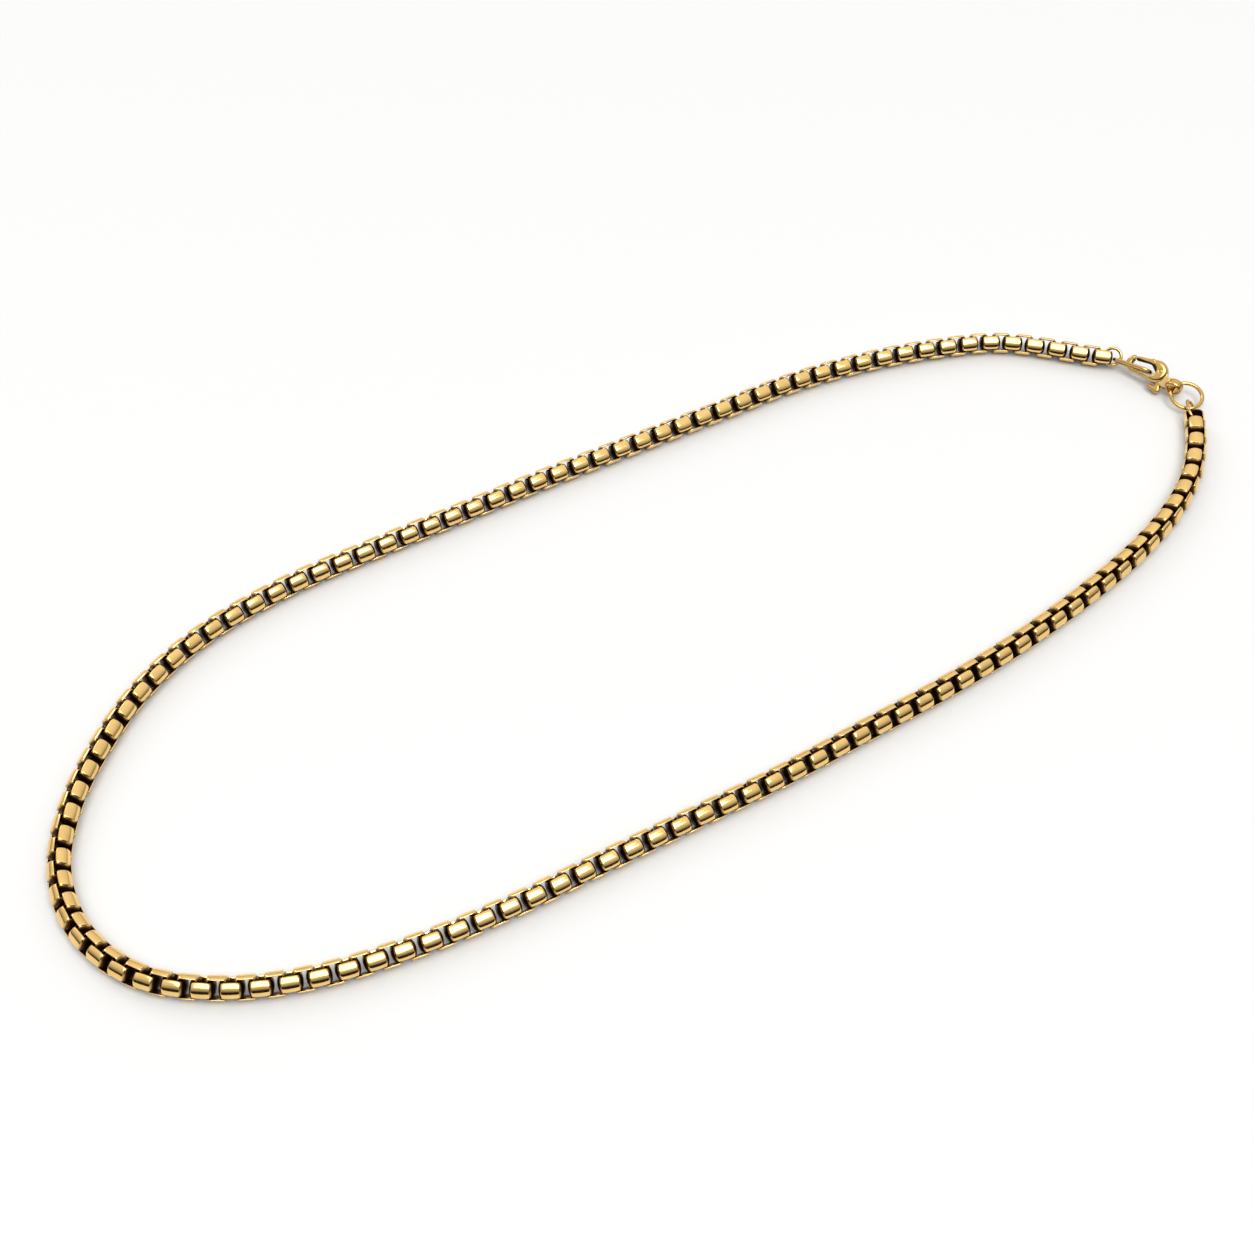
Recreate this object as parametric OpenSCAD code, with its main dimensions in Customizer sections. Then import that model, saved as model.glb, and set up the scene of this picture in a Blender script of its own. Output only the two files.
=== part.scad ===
// Round box chain necklace with a lever clasp, laid down as a closed loop.
// The loop's length runs along X, its front stretch lies at -Y, and Z = 0 is the surface it rests on.
// All sizes are in millimetres and all angles in degrees.

/* [Chain] */
// Width across the chain, over opposite plates
chain_w = 4.8; // [4.6:0.1:5.2]
// Distance from one link to the next that the chain keeps as nearly as whole links allow
link_step = 2.58; // [2.5:0.02:2.7]
// Width of a plate, the wide outer side of a link
plate_w = 2.9; // [2.6:0.1:3]
// Thickness of a plate along the middle of its crown
plate_t = 0.6; // [0.55:0.05:0.7]
// Width of the bar that joins the two plates at each end of a link
bar_w = 1.7; // [1.5:0.1:1.8]
// Thickness of a bar at its middle
bar_t = 0.42; // [0.4:0.02:0.5]
// Play along the chain between the bars of two links
link_play = 0.26; // [0.25:0.01:0.32]
// Outside radius of the bend from a plate to a bar
bend_r = 0.55; // [0.4:0.05:0.8]
// Length that the rounding takes off a plate's corners, along the chain
end_cut = 0.4; // [0.3:0.05:0.6]
// Width that it takes off each side of the plate
side_cut = 1.1; // [0.7:0.05:1.2]
// Length of chain behind the front end along which its plates turn to their usual roll
twist_l = 100; // [60:1:120]

/* [Rings] */
// Wire of the soldered ring at the chain's back end
back_wire = 0.7; // [0.6:0.05:0.75]
// Outside diameter of that ring
back_d = 4.6; // [4.5:0.1:4.8]
// Wire of the oval ring that the clasp catches
catch_wire = 0.8; // [0.7:0.05:0.85]
// Outside length of that oval ring
catch_l = 9.8; // [9.6:0.1:10.2]
// Outside height of that oval ring
catch_h = 4; // [3.9:0.1:4.2]
// Wire of the jump ring in the clasp's eye
jump_wire = 0.9; // [0.8:0.02:0.94]
// Outside diameter of the jump ring
jump_d = 8; // [7.6:0.1:8.4]
// Wire of the soldered oval ring at the chain's front end
front_wire = 0.7; // [0.6:0.05:0.75]
// Outside length of that ring
front_l = 6.4; // [6.2:0.1:6.8]
// Outside width of that ring
front_w = 4.8; // [4.7:0.1:5]
// Clearance where a ring holds another piece
ring_play = 0.18; // [0.16:0.01:0.22]

/* [Clasp] */
// Distance from the nose of the clasp to the middle of its eye
clasp_l = 12.4; // [12.2:0.1:12.8]
// Thickness of the hook
hook_t = 2; // [1.8:0.1:2.1]
// Radius of the nose, seen from above
nose_r = 1.95; // [1.9:0.05:2.1]
// Thickness of the hub that holds the lever
hub_t = 3.2; // [3:0.1:3.4]
// Radius of the hub
hub_r = 2.5; // [2.4:0.1:2.7]
// Width of the tail between hub and eye
tail_w = 2.4; // [2.2:0.1:2.6]
// Thickness of the tail
tail_t = 2.2; // [2:0.1:2.3]
// Outside diameter of the eye
eye_d = 3.9; // [3.7:0.1:4.1]
// Bore of the eye
eye_bore = 2.5; // [2.4:0.05:2.6]
// Length of the eye across the clasp
eye_w = 2.1; // [2:0.1:2.3]

/* [Lever] */
// Thickness of the lever
lever_t = 1.5; // [1.3:0.1:1.6]
// Diameter of the pin that the lever turns on
pin_d = 0.9; // [0.8:0.05:1]
// Clearance between the lever and everything around it
lever_gap = 0.16; // [0.14:0.01:0.2]
// Angle that the lever opens by
lever_swing = 16; // [12:1:16]
// Radius of the thumb knob
knob_r = 0.75; // [0.65:0.05:0.85]

/* [Hidden] */
$fn = 48;
gold = [0.86, 0.67, 0.33];
pale_gold = [0.93, 0.78, 0.47];

// Middle line of the chain on the surface, from its front end by the far bend to its back end
route = [[120, -21], [109, -28.5], [94, -34.5], [76, -39], [56, -42.5], [36, -44.5], [16, -45.5],
         [-4, -46.5], [-24, -46.5], [-44, -46.5], [-64, -46.5], [-84, -45], [-102, -41.5], [-117, -35],
         [-128, -25.5], [-133.5, -12], [-132.5, 2], [-126, 14.5], [-116, 25.5], [-103, 35.5],
         [-87, 42.5], [-67, 46], [-46, 46.5], [-25, 46.5], [-4, 46.5], [17, 46], [38, 45.5], [58, 45],
         [76, 42.5], [93, 38], [108, 31.5]];
// Tip of the clasp's nose on the surface
nose_at = [126.9, 11.4];
// Directions of travel, as angles from +X: of the clasp, and of the chain's front and back ends
clasp_way = -65;
front_way = -122;
back_way = -40;
// Angle that the clasp is rolled by, so that its outer edge stands higher
clasp_roll = 40;
// Angle that the clasp slopes up by, from its nose to its eye
clasp_slope = 5;
// Height that the nose hangs below the middle of the chain
nose_drop = 0.3;
// Angle that the jump ring slopes down by, towards the way of the chain's front end
jump_slope = 10;
// Turn from that way to the line from the eye to the middle of the jump ring
jump_turn = 46;
// Turn on round the jump ring to where the front ring holds it
front_turn = 20;
// Angle that the back ring slopes up by, towards the clasp
back_slope = 15;
// Roll of the front ring round its own length
front_roll = 130;
// Twist of the eye back towards level, against the clasp's roll
eye_twist = -32;
// Roll of the plates at the chain's front end, and along most of the chain
front_plate_roll = 8;
plate_roll = 45;
// Angle that the plates sway by round that roll, away from the chain's ends, and how many times
sway = 7;
sways = 3;
// Steps of the middle line between two points of the route
fine = 10;
// Flats that a link's rounded corner is made of
flats = 2;
// Spare length by which a cutting shape stands clear of what it trims
spare = 0.02;
// Extra length of a cut that runs right through a piece
through = 1;
// How many ring clearances wide the gap is between the jump ring and the front ring in it
loose = 4;

// The chain lies on the surface with its full width
axis_z = chain_w / 2;
clasp_z = axis_z - nose_drop;
link_l = link_step + 2 * bar_t + link_play;
hole_h = chain_w - 2 * plate_t;

// Where the back ring's wire passes the catch ring, from the middle of its round end: along the
// chain's back end, and across it
back_aside = [-0.1, 1.1];

// Clasp, in its own frame: x from the nose to the eye, y towards the outside of the loop
nose = [nose_r, 1.6];
hub = [7.4, 1.4];
mouth_front = [2.6, 1.6];
mouth_front_r = 1.3;
mouth_back = [6, 1.3];
mouth_back_r = 1.5;
nose_end_x = 1.65;
gate_side_y = 2.2;
shoulder_x = 6.3;
pivot = [8.5, 1.7];
lever_root_r = 1.2;
gate_tip = [2.3, 2.95] - pivot;
gate_tip_r = 0.5;
gate_bend = [5.8, 3.3] - pivot;
gate_bend_r = 0.6;
knob = [8.9, -2.45] - pivot;
lever_arm_r = 0.6;
eye = [clasp_l, -0.4];
// The oval ring stands on edge in the mouth, and reaches this far in from the nose
catch_in = 6.5;
catch_y = 0.9;

function way(a) = [cos(a), sin(a)];
function unit(v) = v / norm(v);
// Turns a vector by a slope down about Y and then by a heading about Z
function slope_turn(v, slope, heading) =
    let (x = v.x * cos(slope) + v.z * sin(slope), z = v.z * cos(slope) - v.x * sin(slope))
    [x * cos(heading) - v.y * sin(heading), x * sin(heading) + v.y * cos(heading), z];
// A point of the clasp's middle plane
function from_clasp(p) =
    concat(nose_at, clasp_z)
    + slope_turn([p.x, p.y * cos(clasp_roll), p.y * sin(clasp_roll)], -clasp_slope, clasp_way);
// How far a bar's inner face lies from the middle of the round end of the ring that holds it
function seat(inner_r, half_bar) = sqrt(pow(inner_r - ring_play, 2) - pow(half_bar, 2));

// Jump ring: it passes through the middle of the eye
jump_r = (jump_d - jump_wire) / 2;
jump_at = from_clasp(eye) + slope_turn(jump_r * concat(way(jump_turn), 0), jump_slope, front_way);

// Front ring: from inside the jump ring up to the first link
front_end_r = (front_w - front_wire) / 2;
front_reach = front_l - front_wire;
front_lean = front_roll - 90 - front_plate_roll;
front_hold = jump_r - (jump_wire + front_wire) / 2 - loose * ring_play;
front_from = jump_at + slope_turn(front_hold * concat(way(front_turn), 0), jump_slope, front_way);
front_slope = -asin((axis_z - front_from.z) / front_reach);
front_to = front_from + slope_turn([front_reach, 0, 0], front_slope, front_way);
front_bar = (bar_w + front_wire * sin(front_lean) + ring_play) / 2 / cos(front_lean);
front_seat = seat(front_end_r - front_wire / 2, front_bar);
chain_start = [front_to.x, front_to.y] - (front_end_r - front_seat + bar_t) * way(front_way);

// Catch ring and back ring: the back ring holds the last link and passes through the catch ring
catch_back_x = catch_in - catch_l + catch_h / 2;
back_r = (back_d - back_wire) / 2;
catch_end = from_clasp([catch_back_x, catch_y]);
back_front_at = [catch_end.x, catch_end.y]
    + back_aside.x * way(back_way) + back_aside.y * way(back_way + 90);
back_at = concat(back_front_at, 0) + slope_turn([-back_r, 0, 0], -back_slope, back_way)
    + [0, 0, axis_z + 2 * back_r * sin(back_slope)];
back_bar = (bar_w + ring_play) / 2 + back_wire * sin(back_slope);
back_seat = slope_turn([bar_t - seat(back_r - back_wire / 2, back_bar), 0, 0], -back_slope, back_way);
chain_end = [back_at.x + back_seat.x, back_at.y + back_seat.y];

// Middle line: smooth curves through the route, with the ends square to the rings that hold them
knots = concat([chain_start], route, [chain_end]);
last = len(knots) - 1;
function tangent(i) =
    i == 0 ? way(front_way) : i == last ? way(back_way) : unit(knots[i + 1] - knots[i - 1]);
function on_curve(i, t) =
    let (a = knots[i], b = knots[i + 1], d = norm(b - a))
    (2 * pow(t, 3) - 3 * pow(t, 2) + 1) * a + (pow(t, 3) - 2 * pow(t, 2) + t) * d * tangent(i)
    + (3 * pow(t, 2) - 2 * pow(t, 3)) * b + (pow(t, 3) - pow(t, 2)) * d * tangent(i + 1);
line = concat([for (i = [0:last - 1], k = [0:fine - 1]) on_curve(i, k / fine)], [knots[last]]);
run = [for (i = 0, s = 0; i < len(line);
            s = s + (i + 1 < len(line) ? norm(line[i + 1] - line[i]) : 0), i = i + 1) s];
line_x = [for (i = [0:len(line) - 1]) [run[i], line[i].x]];
line_y = [for (i = [0:len(line) - 1]) [run[i], line[i].y]];
function line_at(s) = [lookup(s, line_x), lookup(s, line_y)];

// An even number of links, so that the back end's last link is turned across the first one
chain_l = run[len(run) - 1];
links = 2 * round((chain_l - link_l) / link_step / 2);
step = (chain_l - link_l) / (links - 1);
half = links / 2;
function link_s(i) = link_l / 2 + i * step;
function ease(t) = t <= 0 ? 0 : t >= 1 ? 1 : t * t * (3 - 2 * t);
function roll(i) =
    let (s = link_s(i), off_front = ease(s / twist_l), off_back = ease((chain_l - s) / twist_l))
    front_plate_roll + (plate_roll - front_plate_roll) * off_front
    + sway * off_front * off_back * cos(360 * sways * s / chain_l) + 90 * (i % 2);

// Flat shape between two circles of different sizes and the lines that touch both
module taper(a, ar, b, br) {
    d = norm(b - a);
    turn = atan2(b.y - a.y, b.x - a.x);
    lean = asin((ar - br) / d);
    up = way(turn + 90 - lean);
    down = way(turn - 90 + lean);
    translate(a) circle(ar);
    translate(b) circle(br);
    polygon([a + ar * up, a + ar * down, b + br * down, b + br * up]);
}

// Corner points of a rectangle whose corners are cut back in a few flats, close to an arc
function cut_corners(l, w, cut_l, cut_w) =
    [for (q = [0:3], k = [0:flats])
        let (a = 90 * (q % 2 == 0 ? k / flats : 1 - k / flats),
             sx = q == 0 || q == 3 ? 1 : -1, sy = q < 2 ? 1 : -1)
        [sx * (l / 2 - cut_l * (1 - cos(a))), sy * (w / 2 - cut_w * (1 - sin(a)))]];

// A link as its side shows it: two plates and two bars round an open hole
module link_side() {
    difference() {
        polygon(cut_corners(link_l, chain_w, bend_r, bend_r));
        square([link_l - 2 * bar_t, hole_h], center = true);
    }
}

// A link as its end shows it: crowned plates above and below a narrower bar
module link_end() {
    difference() {
        circle(d = chain_w);
        for (side = [-1, 1]) {
            translate([side * (plate_w + chain_w) / 2, 0])
                square(chain_w, center = true);
            translate([side * (bar_w + chain_w) / 2, 0])
                square([chain_w, hole_h], center = true);
        }
    }
}

// One link: x along the chain, plates at +z and -z, bars at both ends
module link() {
    intersection() {
        rotate([90, 0, 0]) linear_extrude(plate_w + spare, center = true) link_side();
        linear_extrude(chain_w + spare, center = true)
            polygon(cut_corners(link_l + spare, plate_w + spare, end_cut, side_cut));
        rotate([90, 0, 90]) linear_extrude(link_l + spare, center = true) link_end();
    }
}

module links_from(first, count) {
    for (i = [first:first + count - 1]) {
        s = link_s(i);
        ahead = line_at(s + step / 2) - line_at(s - step / 2);
        translate(concat(line_at(s), axis_z))
            rotate([0, 0, atan2(ahead.y, ahead.x)])
                rotate([roll(i) - 90, 0, 0]) link();
    }
}

module round_ring(r, wire) {
    rotate_extrude() translate([r, 0]) circle(wire / 2);
}

// Oval ring in the x-y plane: two half rings joined by straight wires
module oval_ring(l, w, wire) {
    r = (w - wire) / 2;
    straight = l - w;
    for (side = [0, 1])
        rotate([0, 0, 180 * side]) {
            translate([straight / 2, 0, 0]) rotate([0, 0, -90])
                rotate_extrude(angle = 180) translate([r, 0]) circle(wire / 2);
            translate([0, r, 0]) rotate([0, 90, 0])
                cylinder(r = wire / 2, h = straight, center = true);
        }
}

module in_clasp() {
    translate(concat(nose_at, clasp_z)) rotate([0, 0, clasp_way]) rotate([0, -clasp_slope, 0])
        rotate([clasp_roll, 0, 0]) children();
}

// The lever's outline about its pivot, grown by a clearance
module lever_outline(grow) {
    taper([0, 0], lever_root_r + grow, gate_bend, gate_bend_r + grow);
    taper(gate_bend, gate_bend_r + grow, gate_tip, gate_tip_r + grow);
    taper([0, 0], lever_arm_r + grow, knob, knob_r + grow);
}

module chain_front() {
    color(gold) links_from(0, half);
}

module chain_back() {
    color(pale_gold) links_from(half, half);
}

module end_ring_back() {
    color(pale_gold) translate(back_at) rotate([0, 0, back_way]) rotate([0, -back_slope, 0])
        rotate([roll(links - 1) - 90, 0, 0]) round_ring(back_r, back_wire);
}

module catch_ring() {
    color(gold) in_clasp() translate([catch_in - catch_l / 2, catch_y, 0]) rotate([90, 0, 0])
        oval_ring(catch_l, catch_h, catch_wire);
}

module clasp_body() {
    slot_t = lever_t + 2 * lever_gap;
    // Height of the square that opens the mouth to the lever's side
    bite = 4;
    // Width of the hub's rim beyond the hook
    hub_rim = 0.2;
    // The tail ends halfway through the wall of the eye
    tail_end = eye.x - (eye_d + eye_bore) / 4;
    color(pale_gold) in_clasp() difference() {
        union() {
            linear_extrude(hook_t, center = true) taper(nose, nose_r, hub, hub_r - hub_rim);
            translate(hub) cylinder(r = hub_r, h = hub_t, center = true);
            translate([(hub.x + tail_end) / 2, eye.y, 0])
                cube([tail_end - hub.x, tail_w, tail_t], center = true);
            translate(eye) rotate([90 + eye_twist, 0, 0])
                cylinder(d = eye_d, h = eye_w, center = true);
        }
        linear_extrude(hub_t + through, center = true)
            taper(mouth_front, mouth_front_r, mouth_back, mouth_back_r);
        linear_extrude(hub_t + through, center = true) translate([nose_end_x, gate_side_y])
            square([shoulder_x - nose_end_x, bite]);
        linear_extrude(slot_t, center = true) translate(pivot)
            for (a = [0, lever_swing / 2, lever_swing]) rotate(a) lever_outline(lever_gap);
        translate(pivot) cylinder(d = pin_d, h = hub_t + through, center = true);
        translate(eye) rotate([90 + eye_twist, 0, 0])
            cylinder(d = eye_bore, h = eye_w + through, center = true);
    }
}

module clasp_pin() {
    color(gold) in_clasp() translate(pivot) cylinder(d = pin_d, h = hub_t, center = true);
}

module clasp_lever() {
    color(gold) in_clasp() translate(pivot) difference() {
        linear_extrude(lever_t, center = true) lever_outline(0);
        cylinder(d = pin_d + 2 * lever_gap, h = lever_t + through, center = true);
    }
}

module jump_ring() {
    color(gold) translate(jump_at) rotate([0, 0, front_way]) rotate([0, jump_slope, 0])
        round_ring(jump_r, jump_wire);
}

module end_ring_front() {
    color(pale_gold) translate((front_from + front_to) / 2) rotate([0, 0, front_way])
        rotate([0, front_slope, 0]) rotate([front_roll, 0, 0]) oval_ring(front_l, front_w, front_wire);
}

chain_front();
chain_back();
end_ring_back();
catch_ring();
clasp_body();
clasp_pin();
clasp_lever();
jump_ring();
end_ring_front();
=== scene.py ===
"""Looks of a round box chain necklace with a lever clasp, laid down as a closed loop."""
import math

import bpy
import numpy as np
from mathutils import Matrix

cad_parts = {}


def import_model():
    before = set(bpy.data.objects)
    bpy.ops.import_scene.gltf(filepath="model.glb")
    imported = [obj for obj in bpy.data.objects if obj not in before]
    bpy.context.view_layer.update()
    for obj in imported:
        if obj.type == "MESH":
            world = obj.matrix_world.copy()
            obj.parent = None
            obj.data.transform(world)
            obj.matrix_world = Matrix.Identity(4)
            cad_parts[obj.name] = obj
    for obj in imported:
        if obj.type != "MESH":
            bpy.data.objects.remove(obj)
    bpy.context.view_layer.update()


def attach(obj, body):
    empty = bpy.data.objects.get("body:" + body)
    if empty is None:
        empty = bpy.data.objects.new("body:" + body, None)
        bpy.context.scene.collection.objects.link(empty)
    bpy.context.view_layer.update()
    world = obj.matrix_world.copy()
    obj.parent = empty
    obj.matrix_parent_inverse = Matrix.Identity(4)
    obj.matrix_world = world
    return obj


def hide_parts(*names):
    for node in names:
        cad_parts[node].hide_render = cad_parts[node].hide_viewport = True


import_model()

MM = 0.001

# Chain, in millimetres
CHAIN_W = 4.8
LINK_STEP = 2.58
PLATE_W = 2.9
PLATE_T = 0.6
# The bars are wider than the model's and stand out past the plates' ends, so that less of the pale
# surface shows through the links. Their faces are painted near-black, as painted shade.
BAR_W = 3.0
BAR_OUT = 0.4
BAR_T = 0.42
LINK_PLAY = 0.26
BEND_R = 0.55
TWIST_L = 100
LINK_L = LINK_STEP + 2 * BAR_T + LINK_PLAY
# How far the crowns of the plates lie inside the chain's width, so that the smooth surface, which
# swells a little between its points, stays inside the model's box
CROWN_IN = 0.085
# Height of a bar's two sections over and under the link's middle, as a share of the chain's width
BAR_RISE = 0.25
# Corner of a link: its inner point lies this many bar thicknesses in from the link's end and this
# many plate thicknesses in from the crown, and its half width is this share of the plate's width
CORNER_IN, CORNER_DOWN, CORNER_HALF = 1.3, 1.15, 0.43
# How far the edges of a section stand out, from 0 at its inner point to 1 at its outer one
PLATE_EDGE, CORNER_EDGE, BAR_EDGE = 0.17, 0.3, 0.4
# Rounds of smoothing that a link's cage gets
LINK_SMOOTHING = 2

# Rings, in millimetres
BACK_WIRE, BACK_D = 0.7, 4.6
CATCH_WIRE, CATCH_L, CATCH_H = 0.8, 9.8, 4
JUMP_WIRE, JUMP_D = 0.9, 8
FRONT_WIRE, FRONT_L, FRONT_W = 0.7, 6.4, 4.8
# Share of its size that a ring of wire keeps, so that it stays inside the model's box
WIRE_TRUE = 0.998
# Change of a wire's radius, as a share, at a soldered seam and at the jump ring's split, and how
# far along the wire each reaches, in wire diameters
SOLDER, SOLDER_REACH = 0.06, 0.6
SPLIT, SPLIT_REACH = -0.2, 0.09
# How much the steps round a ring crowd at that place and opposite it, from 0 for even steps
CROWDING = 0.6

# Middles of the rings
BACK_AT = (126.144, 15.028, 2.905)
JUMP_AT = (132.731, -3.358, 2.496)
FRONT_AT = (130.815, -7.734, 2.283)

# Clasp in its own frame, in millimetres: x from the nose to the eye, y to the outside of the loop
NOSE_AT = (126.9, 11.4, 2.1)
HOOK_T = 2
NOSE, NOSE_R = (1.95, 1.6), 1.95
HUB, HUB_R, HUB_T = (7.4, 1.4), 2.5, 3.2
MOUTH_FRONT, MOUTH_FRONT_R = (2.6, 1.6), 1.3
MOUTH_BACK, MOUTH_BACK_R = (6.0, 1.3), 1.5
TAIL_FRONT, TAIL_FRONT_R = (8.3, 0.7), 1.75
TAIL_BACK, TAIL_BACK_R, TAIL_T = (10.2, -0.2), 1.35, 2.2
EYE, EYE_R, EYE_BORE_R, EYE_W, EYE_TWIST = (12.4, -0.4), 1.95, 1.25, 2.1, -32
PIVOT, PIN_R = (8.5, 1.7), 0.45
GATE_TIP, GATE_BEND = (2.3, 2.95), (5.8, 3.3)
KNOB, KNOB_R, THUMB_END = (8.9, -2.45), 0.7, (7.1, -2.15)
LEVER_T, LEVER_GAP, LEVER_SWING = 1.5, 0.16, 16
CATCH_AT = (1.6, 0.9, 0)
# How much less than the hub's radius the hook's is where they meet, and how much less than HUB_T
# the hub and the pin measure, so that the pin's ends just stand out
HOOK_LESS, HUB_LESS, PIN_LESS = 0.2, 0.1, 0.08
# Opening beside the mouth that the gate closes: its middle and its size
SIDE_AT, SIDE_SIZE = (3.975, 4.2), (4.65, 4)
# Play of the pin in the clasp's body
PIN_PLAY = 0.02
# Radii of the lever: its root, the gate, the gate's tip, and both ends of the thumb tab
ROOT_R, GATE_R, TIP_R, TAB_ROOT_R, TAB_END_R = 1.2, 0.6, 0.5, 0.6, 0.5
# Rounding of the edges of each flat shape
HOOK_ROUND, HUB_ROUND, TAIL_ROUND, EYE_ROUND = 0.5, 0.85, 0.12, 0.55
SLOT_ROUND, LEVER_ROUND, PIN_ROUND = 0.05, 0.45, 0.05
# Fillets where the shapes of the clasp and of the lever meet
HUB_FILLET, TAIL_FILLET, EYE_FILLET = 0.9, 0.12, 0.3
GATE_FILLET, TAB_FILLET, ROOT_FILLET = 0.4, 0.3, 0.5
# Rounding of the edges of each opening; the bore is cut a second time once the eye is joined on
MOUTH_EDGE, SIDE_EDGE, SLOT_EDGE = 0.3, 0.25, 0.1
PIN_HOLE_EDGE, LEVER_HOLE_EDGE = 0.03, 0.05
BORE_EDGE, BORE_AGAIN_EDGE = 0.35, 0.2
# Boxes in which the clasp, its pin and its lever are skinned, and the step of their lattice
CLASP_BOX = (-0.3, -2.8, -2.5), (14.7, 4.3, 2.6)
PIN_BOX = (7.8, 1, -1.8), (9.2, 2.4, 1.9)
LEVER_BOX = (1.4, -3.6, -1), (10.2, 4.3, 1.1)
LATTICE = 0.1
# Times that a skin's points are moved onto the surface, and the least slope that is reckoned with
SKIN_ROUNDS, LEAST_SLOPE = 3, 0.5
# Brushed, shade-painted metal lies this near to the tail's flat faces, from this far behind the
# hub's middle
BRUSHED_AND_SHADED_NEAR, BRUSHED_AND_SHADED_FROM = 0.04, 1.5
# The mouth's walls carry painted shade, full up to this distance times the fade less one, and none
# from this distance times the fade, within this share of the hook's thickness on each side of its
# middle
WALL_NEAR, WALL_FADE, WALL_HALF = 0.12, 1.4, 0.42

# Middle line of the chain on the surface, from its front end by the far bend to its back end
ROUTE = np.array([
    [120, -21], [109, -28.5], [94, -34.5], [76, -39], [56, -42.5], [36, -44.5], [16, -45.5],
    [-4, -46.5], [-24, -46.5], [-44, -46.5], [-64, -46.5], [-84, -45], [-102, -41.5], [-117, -35],
    [-128, -25.5], [-133.5, -12], [-132.5, 2], [-126, 14.5], [-116, 25.5], [-103, 35.5],
    [-87, 42.5], [-67, 46], [-46, 46.5], [-25, 46.5], [-4, 46.5], [17, 46], [38, 45.5], [58, 45],
    [76, 42.5], [93, 38], [108, 31.5]], float)
# Ends of the chain, where the end rings hold its first and last bars
CHAIN_START = np.array([130.223, -8.683])
CHAIN_END = np.array([125.81, 15.309])

# Directions of travel from +X, slopes and rolls, in degrees
FRONT_WAY = -122
BACK_WAY = -40
FRONT_PLATE_ROLL = 8
PLATE_ROLL = 45
SWAY = 7
SWAYS = 3
CLASP_WAY, CLASP_SLOPE, CLASP_ROLL = -65, 5, 40
JUMP_SLOPE = 10
BACK_SLOPE, BACK_ROLL = 15, 45
FRONT_SLOPE, FRONT_ROLL = -2.362, 130
AXIS_Z = CHAIN_W / 2

# Camera: where it stands, the way it looks on the level and down, and its focal length in pixels
CAMERA_AT = (-144.59, -230.17, 320.38)
CAMERA_WAY = 60
CAMERA_DOWN = 50
FOCAL_PIXELS = 2025.6
PHOTO_PIXELS = 1254
SENSOR_MM = 36
# Nearest distance that it sees, in metres
CAMERA_NEAR = 0.01

# Room: its strength, tint and darkest colour, and the places and levels of the light between
ROOM_LIGHT = 1.06
ROOM_TINT = (1, 0.98, 0.94)
ROOM_DARK = (0.015, 0.012, 0.01)
ROOM_LEVELS = (0.12, 0.25), (0.3, 0.5), (0.5, 0.75), (0.75, 0.88)
# How much a direction along the camera's way counts beside its height
ROOM_LEAN = 0.35

# Soft boxes: place and size in metres, watts and colour
LIGHTS = {
    "key": ((0.33, -1.25, 2.25), (0.8, 0.8), 13, (1, 1, 1)),
    "side": ((-0.37, 2.07, 1.35), (0.7, 1.1), 7, (1, 1, 1)),
    "overhead": ((-0.4, -0.69, 2.2), (1.8, 1.9), 30, (1, 0.98, 0.93)),
}

# Pale surface: half its side in metres, its colour, roughness and share of gloss
SURFACE_HALF = 1.5
SURFACE_COLOR = (0.675, 0.685, 0.705)
SURFACE_ROUGHNESS, SURFACE_GLOSS = 0.6, 0.2

# Golds: colour, roughness, and how much rougher the wiping marks are
CHAIN_GOLD = (0.95, 0.64, 0.24), 0.08, 0.06
RING_GOLD = (0.68, 0.44, 0.15), 0.06, 0.05
CLASP_GOLD = (0.66, 0.43, 0.145), 0.07, 0.06
# Painted shade for the deep places, near-black metal; the brushed faces' colour, darker as painted
# shade; the roughness of both; and the range of a mark over which that colour takes over
RECESS_SHADE_COLOR = (0.06, 0.024, 0.007)
# Brushed finish whose darker colour is painted shade
BRUSHED_AND_SHADED = (0.55, 0.38, 0.16)
MARKED_ROUGHNESS = 0.4
MARKED_RANGE = (0.35, 0.8)
# Change of tone and wiping marks: scale of the noise to a metre, its detail and the range it is
# spread over, and the share of its colour that the gold keeps where its tone is lowest
TONE_SCALE, TONE_DETAIL, TONE_RANGE, TONE_LOW = 350, 3, (0.35, 0.65), 0.9
WIPE_SCALE, WIPE_DETAIL, WIPE_RANGE = 2200, 4, (0.3, 0.7)
# Unevenness of the surface: its strength, and its depth in metres
BUMP_STRENGTH, BUMP_DEPTH = 0.015, 0.0002


def way(angle):
    """Unit vector on the level at an angle from +X."""
    return np.array([math.cos(math.radians(angle)), math.sin(math.radians(angle))])


def turn(axis, angle):
    """Matrix that turns a column vector about an axis by the right-hand rule.

    The angle may be an array, which gives one matrix for each of its numbers."""
    a = np.radians(np.asarray(angle, float))
    m = np.zeros(a.shape + (3, 3))
    i, j = [(1, 2), (2, 0), (0, 1)]["xyz".index(axis)]
    m[..., 3 - i - j, 3 - i - j] = 1
    m[..., i, i] = m[..., j, j] = np.cos(a)
    m[..., j, i] = np.sin(a)
    m[..., i, j] = -np.sin(a)
    return m


def ease(t):
    """Smooth step: 0 below 0, 1 above 1, and three squares less two cubes between."""
    t = np.clip(t, 0, 1)
    return t * t * (3 - 2 * t)


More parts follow.
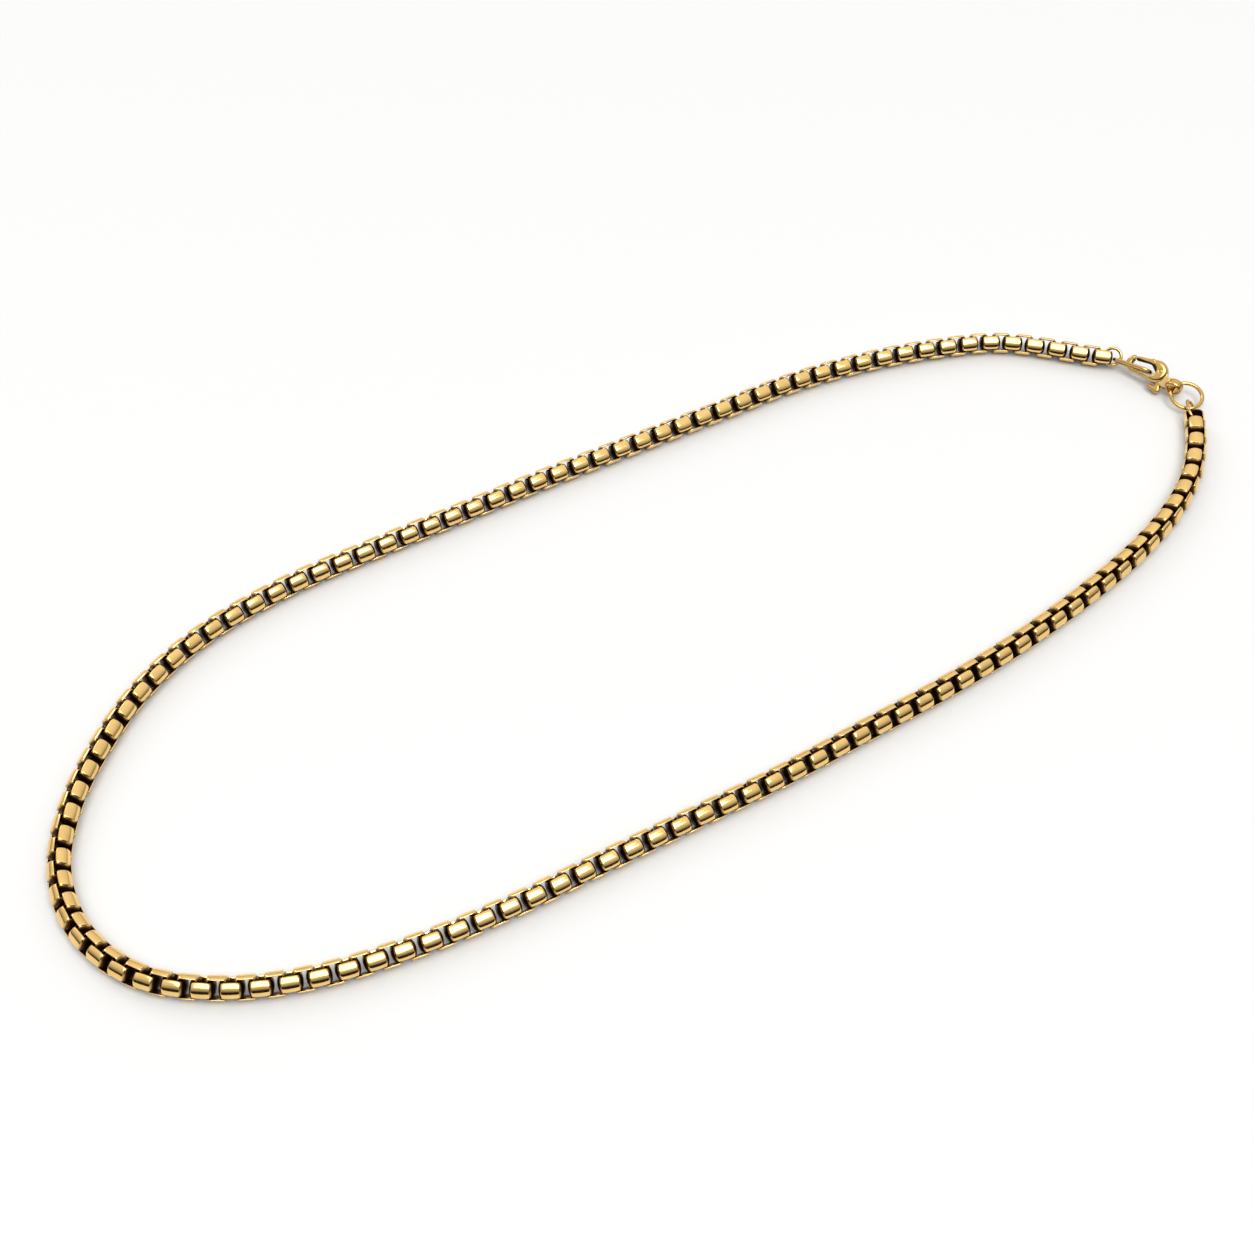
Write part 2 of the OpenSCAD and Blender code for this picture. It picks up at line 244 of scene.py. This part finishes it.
def middle_line(steps=10):
    """Points of the chain's middle line and how far along it each lies.

    Between two knots the line is a cubic whose end tangents follow the neighbouring knots, times
    the distance between the two."""
    knots = np.vstack([CHAIN_START, ROUTE, CHAIN_END])
    tangents = np.vstack([way(FRONT_WAY), knots[2:] - knots[:-2], way(BACK_WAY)])
    tangents /= np.linalg.norm(tangents, axis=1, keepdims=True)
    a, b = knots[:-1, None], knots[1:, None]
    d = np.linalg.norm(b - a, axis=2, keepdims=True)
    t = (np.arange(steps) / steps)[None, :, None]
    curve = ((2 * t**3 - 3 * t**2 + 1) * a + (t**3 - 2 * t**2 + t) * d * tangents[:-1, None]
             + (3 * t**2 - 2 * t**3) * b + (t**3 - t**2) * d * tangents[1:, None])
    points = np.vstack([curve.reshape(-1, 2), knots[-1:]])
    along = np.r_[0, np.cumsum(np.linalg.norm(np.diff(points, axis=0), axis=1))]
    return points, along


def link_places():
    """Middle point and turn of every link: x along the line, plates rolled round it, every second
    link a quarter turn further."""
    points, along = middle_line()
    length = along[-1]
    links = 2 * round((length - LINK_L) / LINK_STEP / 2)
    step = (length - LINK_L) / (links - 1)
    s = LINK_L / 2 + step * np.arange(links)

    def line_at(distance):
        return np.stack([np.interp(distance, along, points[:, k]) for k in (0, 1)], axis=1)

    ahead = line_at(s + step / 2) - line_at(s - step / 2)
    off_front, off_back = ease(s / TWIST_L), ease((length - s) / TWIST_L)
    roll = FRONT_PLATE_ROLL + (PLATE_ROLL - FRONT_PLATE_ROLL) * off_front
    roll = roll + SWAY * off_front * off_back * np.cos(2 * math.pi * SWAYS * s / length)
    roll = roll + 90 * (np.arange(links) % 2) - 90
    heading = np.degrees(np.arctan2(ahead[:, 1], ahead[:, 0]))
    middle = np.column_stack([line_at(s), np.full(links, AXIS_Z)])
    return middle, turn("z", heading) @ turn("x", roll)


def through(grid):
    """Cage whose smooth surface passes through a grid of points that closes both ways.

    A smooth surface lies at four sixths of a cage point and one sixth of each neighbour, so the
    cage is the grid times the inverse of those shares, both ways."""
    for axis in (0, 1):
        n = grid.shape[axis]
        shares = (4 * np.eye(n) + np.roll(np.eye(n), 1, 0) + np.roll(np.eye(n), -1, 0)) / 6
        grid = np.moveaxis(np.tensordot(np.linalg.inv(shares), grid, (1, axis)), 0, axis)
    return grid


def link_cage():
    """Cage of one link: 12 sections round its hole, 4 points each: crown, edge, inner face, edge.

    A section on a plate, on a bend or on a bar is given by its outer and inner point in the side
    view, its half width, and how far its edges stand out from the inner point towards the outer
    one. The other three quarters mirror the first."""
    half_l, half_w = LINK_L / 2, CHAIN_W / 2 - CROWN_IN
    bend = BEND_R * (1 - math.sqrt(0.5))
    # outer x, outer z, inner x, inner z, half width, edge
    plate = [half_l - BEND_R, half_w, half_l - BEND_R, half_w - PLATE_T, PLATE_W / 2, PLATE_EDGE]
    corner = [half_l - bend, half_w - bend, half_l - CORNER_IN * BAR_T,
              half_w - CORNER_DOWN * PLATE_T, CORNER_HALF * PLATE_W, CORNER_EDGE]
    bar = [half_l + BAR_OUT, BAR_RISE * CHAIN_W, half_l - BAR_T, BAR_RISE * CHAIN_W, BAR_W / 2,
           BAR_EDGE]
    quarter = np.array([plate, corner, bar])
    loop = np.vstack([quarter, quarter[::-1] * [1, -1, 1, -1, 1, 1],
                      quarter * [-1, -1, -1, -1, 1, 1], quarter[::-1] * [-1, 1, -1, 1, 1, 1]])
    outer, inner = loop[:, 0:2], loop[:, 2:4]
    edge = inner + (outer - inner) * loop[:, 5:6]
    grid = np.zeros((len(loop), 4, 3))
    grid[:, 0, ::2], grid[:, 2, ::2] = outer, inner
    grid[:, 1, ::2] = grid[:, 3, ::2] = edge
    grid[:, 1, 1], grid[:, 3, 1] = loop[:, 4], -loop[:, 4]
    return through(grid)


def link_recess_shade():
    """Painted shade on each point of the cage, by depth: 0 on a crown, 1 on a bar or inside."""
    plate, corner, bar = [0, 0.1, 1, 0.1], [0.42, 0.2, 1, 0.2], [1, 1, 1, 1]
    return np.array([plate, corner, bar, bar, corner, plate] * 2, float)


def closed_quads(rows, columns):
    """Quads of a grid that closes both ways."""
    i, j = np.meshgrid(np.arange(rows), np.arange(columns), indexing="ij")
    i1, j1 = (i + 1) % rows, (j + 1) % columns
    corners = [i * columns + j, i1 * columns + j, i1 * columns + j1, i * columns + j1]
    return np.stack(corners, axis=-1).reshape(-1, 4)


def facing_out(verts, quads):
    """The quads, turned over if the body that they close has a negative volume."""
    p = verts[quads] - verts.mean(0)
    volume = sum(np.einsum("ij,ij->", p[:, 0], np.cross(p[:, a], p[:, b]))
                 for a, b in ((1, 2), (2, 3)))
    return quads if volume > 0 else quads[:, ::-1]


def piece(name, verts_mm, quads, body, material, node):
    """New object from points in millimetres and quads, which stands for a node of the model."""
    mesh = bpy.data.meshes.new(name)
    mesh.from_pydata((verts_mm * MM).tolist(), [], quads.tolist())
    mesh.shade_smooth()
    mesh.materials.append(material)
    obj = bpy.data.objects.new(name, mesh)
    bpy.context.scene.collection.objects.link(obj)
    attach(obj, body)
    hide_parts(node)
    return obj


def mark(obj, name, values):
    """Number on each point of a piece, which its material reads by name."""
    layer = obj.data.attributes.new(name, "FLOAT", "POINT")
    layer.data.foreach_set("value", np.asarray(values, np.float32).ravel())


def chain_links(name, middles, turns, node, material):
    """One piece of many links: the cage of a link turned and moved to each place, then smoothed."""
    cage = link_cage()
    one = cage.reshape(-1, 3)
    quads = facing_out(one, closed_quads(*cage.shape[:2]))
    verts = np.einsum("nij,vj->nvi", turns, one) + middles[:, None]
    offsets = (np.arange(len(middles)) * len(one))[:, None, None]
    obj = piece(name, verts.reshape(-1, 3), (quads[None] + offsets).reshape(-1, 4), "necklace",
                material, node)
    mark(obj, "recess_shade", np.tile(link_recess_shade().ravel(), len(middles)))
    smooth = obj.modifiers.new("smooth", "SUBSURF")
    smooth.levels = smooth.render_levels = LINK_SMOOTHING
    # With a modifier after it the object's box is the smoothed surface's, and not the larger cage's
    obj.modifiers.new("triangles", "TRIANGULATE")


def wire_ring(length, width, wire, seam, sides=16, steps=112):
    """Closed ring of round wire in the x-y plane: two half circles joined by straight runs of the
    length less the width. At the middle of one run the wire's radius grows by the seam, or shrinks
    where that is negative, along a bell curve."""
    r, straight = (width - wire) / 2, length - width
    around = 2 * math.pi * r + 2 * straight
    s = np.linspace(-0.5, 0.5, steps, endpoint=False)
    s = around * (s - CROWDING * np.sin(4 * math.pi * s) / (4 * math.pi))
    # Path from the middle of the lower run, by the right end, to the middle of the upper one
    half = np.abs(s)
    angle = np.clip((half - straight / 2) / r, 0, math.pi) - math.pi / 2
    end = np.minimum(half, straight / 2) - np.maximum(half - straight / 2 - math.pi * r, 0)
    side = np.where(s < 0, -1, 1)
    out = np.stack([side * np.cos(angle), np.sin(angle), 0 * angle], axis=1)
    path = out * r + np.stack([side * end, 0 * end, 0 * end], axis=1)
    reach = SOLDER_REACH if seam > 0 else SPLIT_REACH
    bell = 1 + seam * np.exp(-(s / reach / wire)**2)
    a = 2 * math.pi * np.arange(sides) / sides
    section = (np.cos(a)[None, :, None] * out[:, None]
               + np.sin(a)[None, :, None] * np.array([0, 0, 1.0]))
    grid = path[:, None] + wire / 2 * bell[:, None, None] * section
    return grid.reshape(-1, 3) * WIRE_TRUE, closed_quads(steps, sides)


def ring_piece(name, shape, turned, at, node, material):
    """Ring of wire turned and moved to its place."""
    verts, quads = shape
    verts = verts @ turned.T + np.array(at)
    piece(name, verts, facing_out(verts, quads), "necklace", material, node)


def circle_gap(p, middle, r):
    """Signed distance in the x-y plane to a circle."""
    return np.hypot(p[..., 0] - middle[0], p[..., 1] - middle[1]) - r


def taper_gap(p, a, ar, b, br):
    """Signed distance in the x-y plane to two circles and the lines that touch both.

    With the lean as the difference of the radii over the distance of the middles, a point beside
    the lines is judged by its distance from them, and any other by the nearer circle."""
    a, b = np.array(a, float), np.array(b, float)
    d = np.linalg.norm(b - a)
    u = (b - a) / d
    q = p[..., :2] - a
    along, aside = q @ u, np.abs(q @ np.array([-u[1], u[0]]))
    lean = (ar - br) / d
    upright = math.sqrt(1 - lean**2)
    k = upright * along - lean * aside
    return np.where(k < 0, np.hypot(along, aside) - ar,
                    np.where(k > upright * d, np.hypot(along - d, aside) - br,
                             upright * aside + lean * along - ar))


def box_gap(p, middle, size):
    """Signed distance in the x-y plane to a rectangle."""
    q = np.abs(p[..., :2] - np.array(middle)) - np.array(size) / 2
    return np.minimum(q.max(-1), 0) + np.linalg.norm(np.maximum(q, 0), axis=-1)


def slab(flat, z, thickness, r):
    """Signed distance to a flat shape given a thickness and edges rounded by r."""
    q = np.stack([flat + r, np.abs(z) - thickness / 2 + r], axis=-1)
    return np.minimum(q.max(-1), 0) + np.linalg.norm(np.maximum(q, 0), axis=-1) - r


def join(a, b, fillet):
    """Smaller of two distances, less a quarter of the fillet times the square of their nearness,
    which is 1 where they are equal and 0 where they are a fillet or more apart."""
    near = np.maximum(fillet - np.abs(a - b), 0) / fillet
    return np.minimum(a, b) - near**2 * fillet / 4


def take(a, b, fillet):
    """The first shape without the second, with the edge between them rounded."""
    return -join(-a, b, fillet)


def lever_gap_at(p, swing, grow):
    """Signed distance in the x-y plane to the lever's outline, swung open by an angle and grown."""
    q = (p[..., :2] - np.array(PIVOT)) @ turn("z", swing)[:2, :2] + np.array(PIVOT)
    gate = join(taper_gap(q, PIVOT, ROOT_R, GATE_BEND, GATE_R),
                taper_gap(q, GATE_BEND, GATE_R, GATE_TIP, TIP_R), GATE_FILLET)
    thumb = join(taper_gap(q, PIVOT, TAB_ROOT_R, KNOB, KNOB_R),
                 taper_gap(q, KNOB, KNOB_R, THUMB_END, TAB_END_R), TAB_FILLET)
    return join(gate, thumb, ROOT_FILLET) - grow


def clasp_field(p):
    """Signed distance to the clasp's body: hook, crowned hub, flat-faced tail and round eye joined
    with fillets, less the mouth, the gate's side, the lever's slot, the pin's hole and the bore."""
    z = p[..., 2]
    hook = slab(taper_gap(p, NOSE, NOSE_R, HUB, HUB_R - HOOK_LESS), z, HOOK_T, HOOK_ROUND)
    hub = slab(circle_gap(p, HUB, HUB_R), z, HUB_T - HUB_LESS, HUB_ROUND)
    tail = slab(taper_gap(p, TAIL_FRONT, TAIL_FRONT_R, TAIL_BACK, TAIL_BACK_R), z, TAIL_T,
                TAIL_ROUND)
    q = (p - np.array([*EYE, 0])) @ turn("x", 90 + EYE_TWIST)
    bore = circle_gap(q, (0, 0), EYE_BORE_R)
    eye = take(slab(circle_gap(q, (0, 0), EYE_R), q[..., 2], EYE_W, EYE_ROUND), bore, BORE_EDGE)
    body = join(join(hook, hub, HUB_FILLET), tail, TAIL_FILLET)
    mouth = taper_gap(p, MOUTH_FRONT, MOUTH_FRONT_R, MOUTH_BACK, MOUTH_BACK_R)
    body = take(body, mouth, MOUTH_EDGE)
    body = take(body, box_gap(p, SIDE_AT, SIDE_SIZE), SIDE_EDGE)
    slot = np.minimum.reduce([lever_gap_at(p, swing, LEVER_GAP)
                              for swing in (0, LEVER_SWING / 2, LEVER_SWING)])
    body = take(body, slab(slot, z, LEVER_T + 2 * LEVER_GAP, SLOT_ROUND), SLOT_EDGE)
    body = take(body, circle_gap(p, PIVOT, PIN_R + PIN_PLAY), PIN_HOLE_EDGE)
    return take(join(body, eye, EYE_FILLET), bore, BORE_AGAIN_EDGE)


def lever_field(p):
    """Signed distance to the lever: rounded gate, root with the pin's hole, and long thumb tab."""
    lever = slab(lever_gap_at(p, 0, 0), p[..., 2], LEVER_T, LEVER_ROUND)
    return take(lever, circle_gap(p, PIVOT, PIN_R + LEVER_GAP), LEVER_HOLE_EDGE)


def pin_field(p):
    """Signed distance to the pin: a rod with rounded rivet ends."""
    return slab(circle_gap(p, PIVOT, PIN_R), p[..., 2], HUB_T - PIN_LESS, PIN_ROUND)


def skin(field, low, high, step):
    """Closed surface where a field of signed distances is zero.

    Each cell of a lattice that the surface crosses gets one point, the mean of the crossings on the
    cell's edges. Each edge that it crosses gets a quad that joins the four cells round it. The
    points then move against the field's slope by the field's value over the square of that slope,
    a few times over, which puts them on the surface."""
    axes = [np.arange(a, b, step) for a, b in zip(low, high)]
    p = np.stack(np.meshgrid(*axes, indexing="ij"), axis=-1)
    f = field(p)
    inside, shape = f < 0, np.array(f.shape)
    total, count = np.zeros((*(shape - 1), 3)), np.zeros(shape - 1)
    edges = []
    for axis in range(3):
        u, v = (axis + 1) % 3, (axis + 2) % 3
        here, there = [slice(None)] * 3, [slice(None)] * 3
        here[axis], there[axis] = slice(0, -1), slice(1, None)
        here, there = tuple(here), tuple(there)
        crossed = inside[here] != inside[there]
        t = np.where(crossed, f[here] / np.where(crossed, f[here] - f[there], 1), 0)
        at = p[here].copy()
        at[..., axis] += t * step
        at *= crossed[..., None]
        for du in (0, 1):
            for dv in (0, 1):
                part = [slice(None)] * 3
                part[u], part[v] = slice(du, shape[u] - 1 + du), slice(dv, shape[v] - 1 + dv)
                total += at[tuple(part)]
                count += crossed[tuple(part)]
        edges.append((axis, u, v, np.argwhere(crossed)))
    used = count > 0
    number = np.full(used.shape, -1)
    number[used] = np.arange(used.sum())
    verts = total[used] / count[used][:, None]
    quads = []
    for axis, u, v, cells in edges:
        corners = []
        for du, dv in ((-1, -1), (0, -1), (0, 0), (-1, 0)):
            c = cells.copy()
            c[:, u] += du
            c[:, v] += dv
            corners.append(number[tuple(c.T)])
        quad = np.stack(corners, axis=-1)
        quads.append(np.where(inside[tuple(cells.T)][:, None], quad, quad[:, ::-1]))
    h = step / 8
    for _ in range(SKIN_ROUNDS):
        slope = np.stack([field(verts + h * e) - field(verts - h * e) for e in np.eye(3)], -1)
        slope = slope / (2 * h)
        steep = np.maximum((slope**2).sum(-1, keepdims=True), LEAST_SLOPE**2)
        verts = verts - np.clip(field(verts)[:, None] / steep, -step / 2, step / 2) * slope
    return verts, np.vstack(quads)


CLASP_TURN = turn("z", CLASP_WAY) @ turn("y", -CLASP_SLOPE) @ turn("x", CLASP_ROLL)


def in_clasp(p):
    """Points of the clasp's frame at their place."""
    return p @ CLASP_TURN.T + np.array(NOSE_AT)


def clasp_piece(name, field, box, body, node, material):
    """Piece of the clasp: the skin of its field, moved from the clasp's frame to its place."""
    own, quads = skin(field, *box, LATTICE)
    obj = piece(name, in_clasp(own), facing_out(own, quads), body, material, node)
    # The tail's flat faces are brushed and painted darker as shade, and the mouth's walls get
    # painted shade
    height = np.abs(own[:, 2])
    flat = (np.abs(height - TAIL_T / 2) < BRUSHED_AND_SHADED_NEAR) & (own[:, 0] > HUB[0] + BRUSHED_AND_SHADED_FROM)
    mark(obj, "brushed_and_shaded", flat & (body == "necklace"))
    wall = taper_gap(own, MOUTH_FRONT, MOUTH_FRONT_R, MOUTH_BACK, MOUTH_BACK_R)
    wall_shade = np.clip(WALL_FADE - wall / WALL_NEAR, 0, 1)
    mark(obj, "recess_shade", wall_shade * (height < WALL_HALF * HOOK_T))


def gold(name, color, roughness, worn):
    """Polished gold: a slow change of tone, fine wiping marks in the gloss and a faint unevenness
    of the surface, all on object coordinates. Where a piece's recess mark is 1 the metal is dark:
    painted shade. Where its brushed mark is 1 it is duller, and darker as painted shade."""
    mat = bpy.data.materials.new(name)
    mat.use_nodes = True
    nodes, links = mat.node_tree.nodes, mat.node_tree.links
    shader = nodes["Principled BSDF"]
    shader.inputs["Metallic"].default_value = 1
    coords = nodes.new("ShaderNodeTexCoord")

    tone = nodes.new("ShaderNodeTexNoise")
    tone.inputs["Scale"].default_value = TONE_SCALE
    tone.inputs["Detail"].default_value = TONE_DETAIL
    links.new(coords.outputs["Object"], tone.inputs["Vector"])
    ramp = nodes.new("ShaderNodeValToRGB")
    low, high = ramp.color_ramp.elements
    low.position, high.position = TONE_RANGE
    low.color = (*[c * TONE_LOW for c in color], 1)
    high.color = (*color, 1)
    links.new(tone.outputs["Fac"], ramp.inputs["Fac"])

    marks = nodes.new("ShaderNodeTexNoise")
    marks.inputs["Scale"].default_value = WIPE_SCALE
    marks.inputs["Detail"].default_value = WIPE_DETAIL
    links.new(coords.outputs["Object"], marks.inputs["Vector"])
    gloss = nodes.new("ShaderNodeMapRange")
    gloss.inputs["From Min"].default_value, gloss.inputs["From Max"].default_value = WIPE_RANGE
    gloss.inputs["To Min"].default_value = roughness
    gloss.inputs["To Max"].default_value = roughness + worn
    links.new(marks.outputs["Fac"], gloss.inputs["Value"])

    surface, dullness = ramp.outputs["Color"], gloss.outputs["Result"]
    # Painted shade: the recess mark turns the metal near-black, the brushed mark turns it darker
    for layer, layer_color in (("brushed_and_shaded", BRUSHED_AND_SHADED), ("recess_shade", RECESS_SHADE_COLOR)):
        marked = nodes.new("ShaderNodeAttribute")
        marked.attribute_name = layer
        share = nodes.new("ShaderNodeMapRange")
        share.interpolation_type = "SMOOTHSTEP"
        share.inputs["From Min"].default_value = MARKED_RANGE[0]
        share.inputs["From Max"].default_value = MARKED_RANGE[1]
        links.new(marked.outputs["Fac"], share.inputs["Value"])
        tint = nodes.new("ShaderNodeMix")
        tint.data_type = "RGBA"
        tint.inputs["B"].default_value = (*layer_color, 1)
        dull = nodes.new("ShaderNodeMix")
        dull.inputs["B"].default_value = MARKED_ROUGHNESS
        for mix, value in ((tint, surface), (dull, dullness)):
            links.new(share.outputs["Result"], mix.inputs["Factor"])
            links.new(value, mix.inputs["A"])
        surface, dullness = tint.outputs["Result"], dull.outputs["Result"]
    links.new(surface, shader.inputs["Base Color"])
    links.new(dullness, shader.inputs["Roughness"])

    bump = nodes.new("ShaderNodeBump")
    bump.inputs["Strength"].default_value = BUMP_STRENGTH
    bump.inputs["Distance"].default_value = BUMP_DEPTH
    links.new(marks.outputs["Fac"], bump.inputs["Height"])
    links.new(bump.outputs["Normal"], shader.inputs["Normal"])
    return mat


def floor():
    """Plain pale surface that the necklace lies on."""
    half = SURFACE_HALF
    mesh = bpy.data.meshes.new("surface")
    mesh.from_pydata([(-half, -half, 0), (half, -half, 0), (half, half, 0), (-half, half, 0)], [],
                     [(0, 1, 2, 3)])
    mat = bpy.data.materials.new("pale_surface")
    mat.use_nodes = True
    shader = mat.node_tree.nodes["Principled BSDF"]
    shader.inputs["Base Color"].default_value = (*SURFACE_COLOR, 1)
    shader.inputs["Roughness"].default_value = SURFACE_ROUGHNESS
    shader.inputs["Specular IOR Level"].default_value = SURFACE_GLOSS
    mesh.materials.append(mat)
    obj = bpy.data.objects.new("surface", mesh)
    bpy.context.scene.collection.objects.link(obj)


def area_light(name, at, size, watts, color):
    """Soft box at a place, in metres, aimed at the middle of the necklace."""
    data = bpy.data.lights.new(name, "AREA")
    data.shape = "RECTANGLE"
    data.size, data.size_y = size
    data.energy = watts
    data.color = color
    obj = bpy.data.objects.new(name, data)
    bpy.context.scene.collection.objects.link(obj)
    z = np.array(at, float)
    z /= np.linalg.norm(z)
    x = np.cross([0, 0, 1], z)
    x /= np.linalg.norm(x)
    y = np.cross(z, x)
    obj.matrix_world = Matrix([[x[0], y[0], z[0], at[0]], [x[1], y[1], z[1], at[1]],
                               [x[2], y[2], z[2], at[2]], [0, 0, 0, 1]])


def world():
    """Studio round the necklace, plain white where the camera looks straight into it.

    The light of a direction follows its height plus a share of how far it runs along the camera's
    way, so above the level it is dark on the camera's side alone."""
    w = bpy.data.worlds.new("room")
    bpy.context.scene.world = w
    w.use_nodes = True
    nodes, links = w.node_tree.nodes, w.node_tree.links
    room, out = nodes["Background"], nodes["World Output"]
    coords = nodes.new("ShaderNodeTexCoord")

    height = nodes.new("ShaderNodeVectorMath")
    height.operation = "DOT_PRODUCT"
    height.inputs[1].default_value = (*(ROOM_LEAN * way(CAMERA_WAY)), 1)
    links.new(coords.outputs["Generated"], height.inputs[0])
    ramp = nodes.new("ShaderNodeValToRGB")
    stops = ramp.color_ramp.elements
    stops[0].position, stops[0].color = 0.0, (*ROOM_DARK, 1)
    stops[1].position, stops[1].color = 1.0, (*ROOM_TINT, 1)
    for place, level in ROOM_LEVELS:
        stops.new(place).color = (*[level * c for c in ROOM_TINT], 1)
    links.new(height.outputs["Value"], ramp.inputs["Fac"])
    links.new(ramp.outputs["Color"], room.inputs["Color"])
    room.inputs["Strength"].default_value = ROOM_LIGHT
    plain = nodes.new("ShaderNodeBackground")
    plain.inputs["Color"].default_value = (1, 1, 1, 1)
    path = nodes.new("ShaderNodeLightPath")
    mix = nodes.new("ShaderNodeMixShader")
    links.new(path.outputs["Is Camera Ray"], mix.inputs["Fac"])
    links.new(room.outputs["Background"], mix.inputs[1])
    links.new(plain.outputs["Background"], mix.inputs[2])
    links.new(mix.outputs["Shader"], out.inputs["Surface"])


def camera():
    """Camera that sees the necklace from the photograph's angle."""
    data = bpy.data.cameras.new("camera")
    data.sensor_width = SENSOR_MM
    data.lens = FOCAL_PIXELS / PHOTO_PIXELS * SENSOR_MM
    data.clip_start = CAMERA_NEAR
    obj = bpy.data.objects.new("camera", data)
    bpy.context.scene.collection.objects.link(obj)
    obj.location = [c * MM for c in CAMERA_AT]
    obj.rotation_euler = (math.radians(90 - CAMERA_DOWN), 0, math.radians(CAMERA_WAY - 90))
    bpy.context.scene.camera = obj


bpy.context.scene.view_settings.view_transform = "Standard"
camera()
world()
floor()
for light, made in LIGHTS.items():
    area_light(light, *made)

chain_gold = gold("chain_gold", *CHAIN_GOLD)
ring_gold = gold("ring_gold", *RING_GOLD)
clasp_gold = gold("clasp_gold", *CLASP_GOLD)

middles, turns = link_places()
half = len(middles) // 2
chain_links("front_links", middles[:half], turns[:half], "chain_front", chain_gold)
chain_links("back_links", middles[half:], turns[half:], "chain_back", chain_gold)

ring_piece("back_ring", wire_ring(BACK_D, BACK_D, BACK_WIRE, SOLDER),
           turn("z", BACK_WAY) @ turn("y", -BACK_SLOPE) @ turn("x", BACK_ROLL), BACK_AT,
           "end_ring_back", ring_gold)
ring_piece("long_ring", wire_ring(CATCH_L, CATCH_H, CATCH_WIRE, SOLDER),
           CLASP_TURN @ turn("x", 90), in_clasp(np.array(CATCH_AT)), "catch_ring", ring_gold)
ring_piece("open_ring", wire_ring(JUMP_D, JUMP_D, JUMP_WIRE, SPLIT),
           turn("z", FRONT_WAY) @ turn("y", JUMP_SLOPE), JUMP_AT, "jump_ring", ring_gold)
ring_piece("front_ring", wire_ring(FRONT_L, FRONT_W, FRONT_WIRE, SOLDER),
           turn("z", FRONT_WAY) @ turn("y", FRONT_SLOPE) @ turn("x", FRONT_ROLL), FRONT_AT,
           "end_ring_front", ring_gold)

clasp_piece("clasp_hook", clasp_field, CLASP_BOX, "necklace", "clasp_body", clasp_gold)
clasp_piece("clasp_rivet", pin_field, PIN_BOX, "necklace", "clasp_pin", clasp_gold)
clasp_piece("clasp_gate", lever_field, LEVER_BOX, "lever", "clasp_lever", clasp_gold)
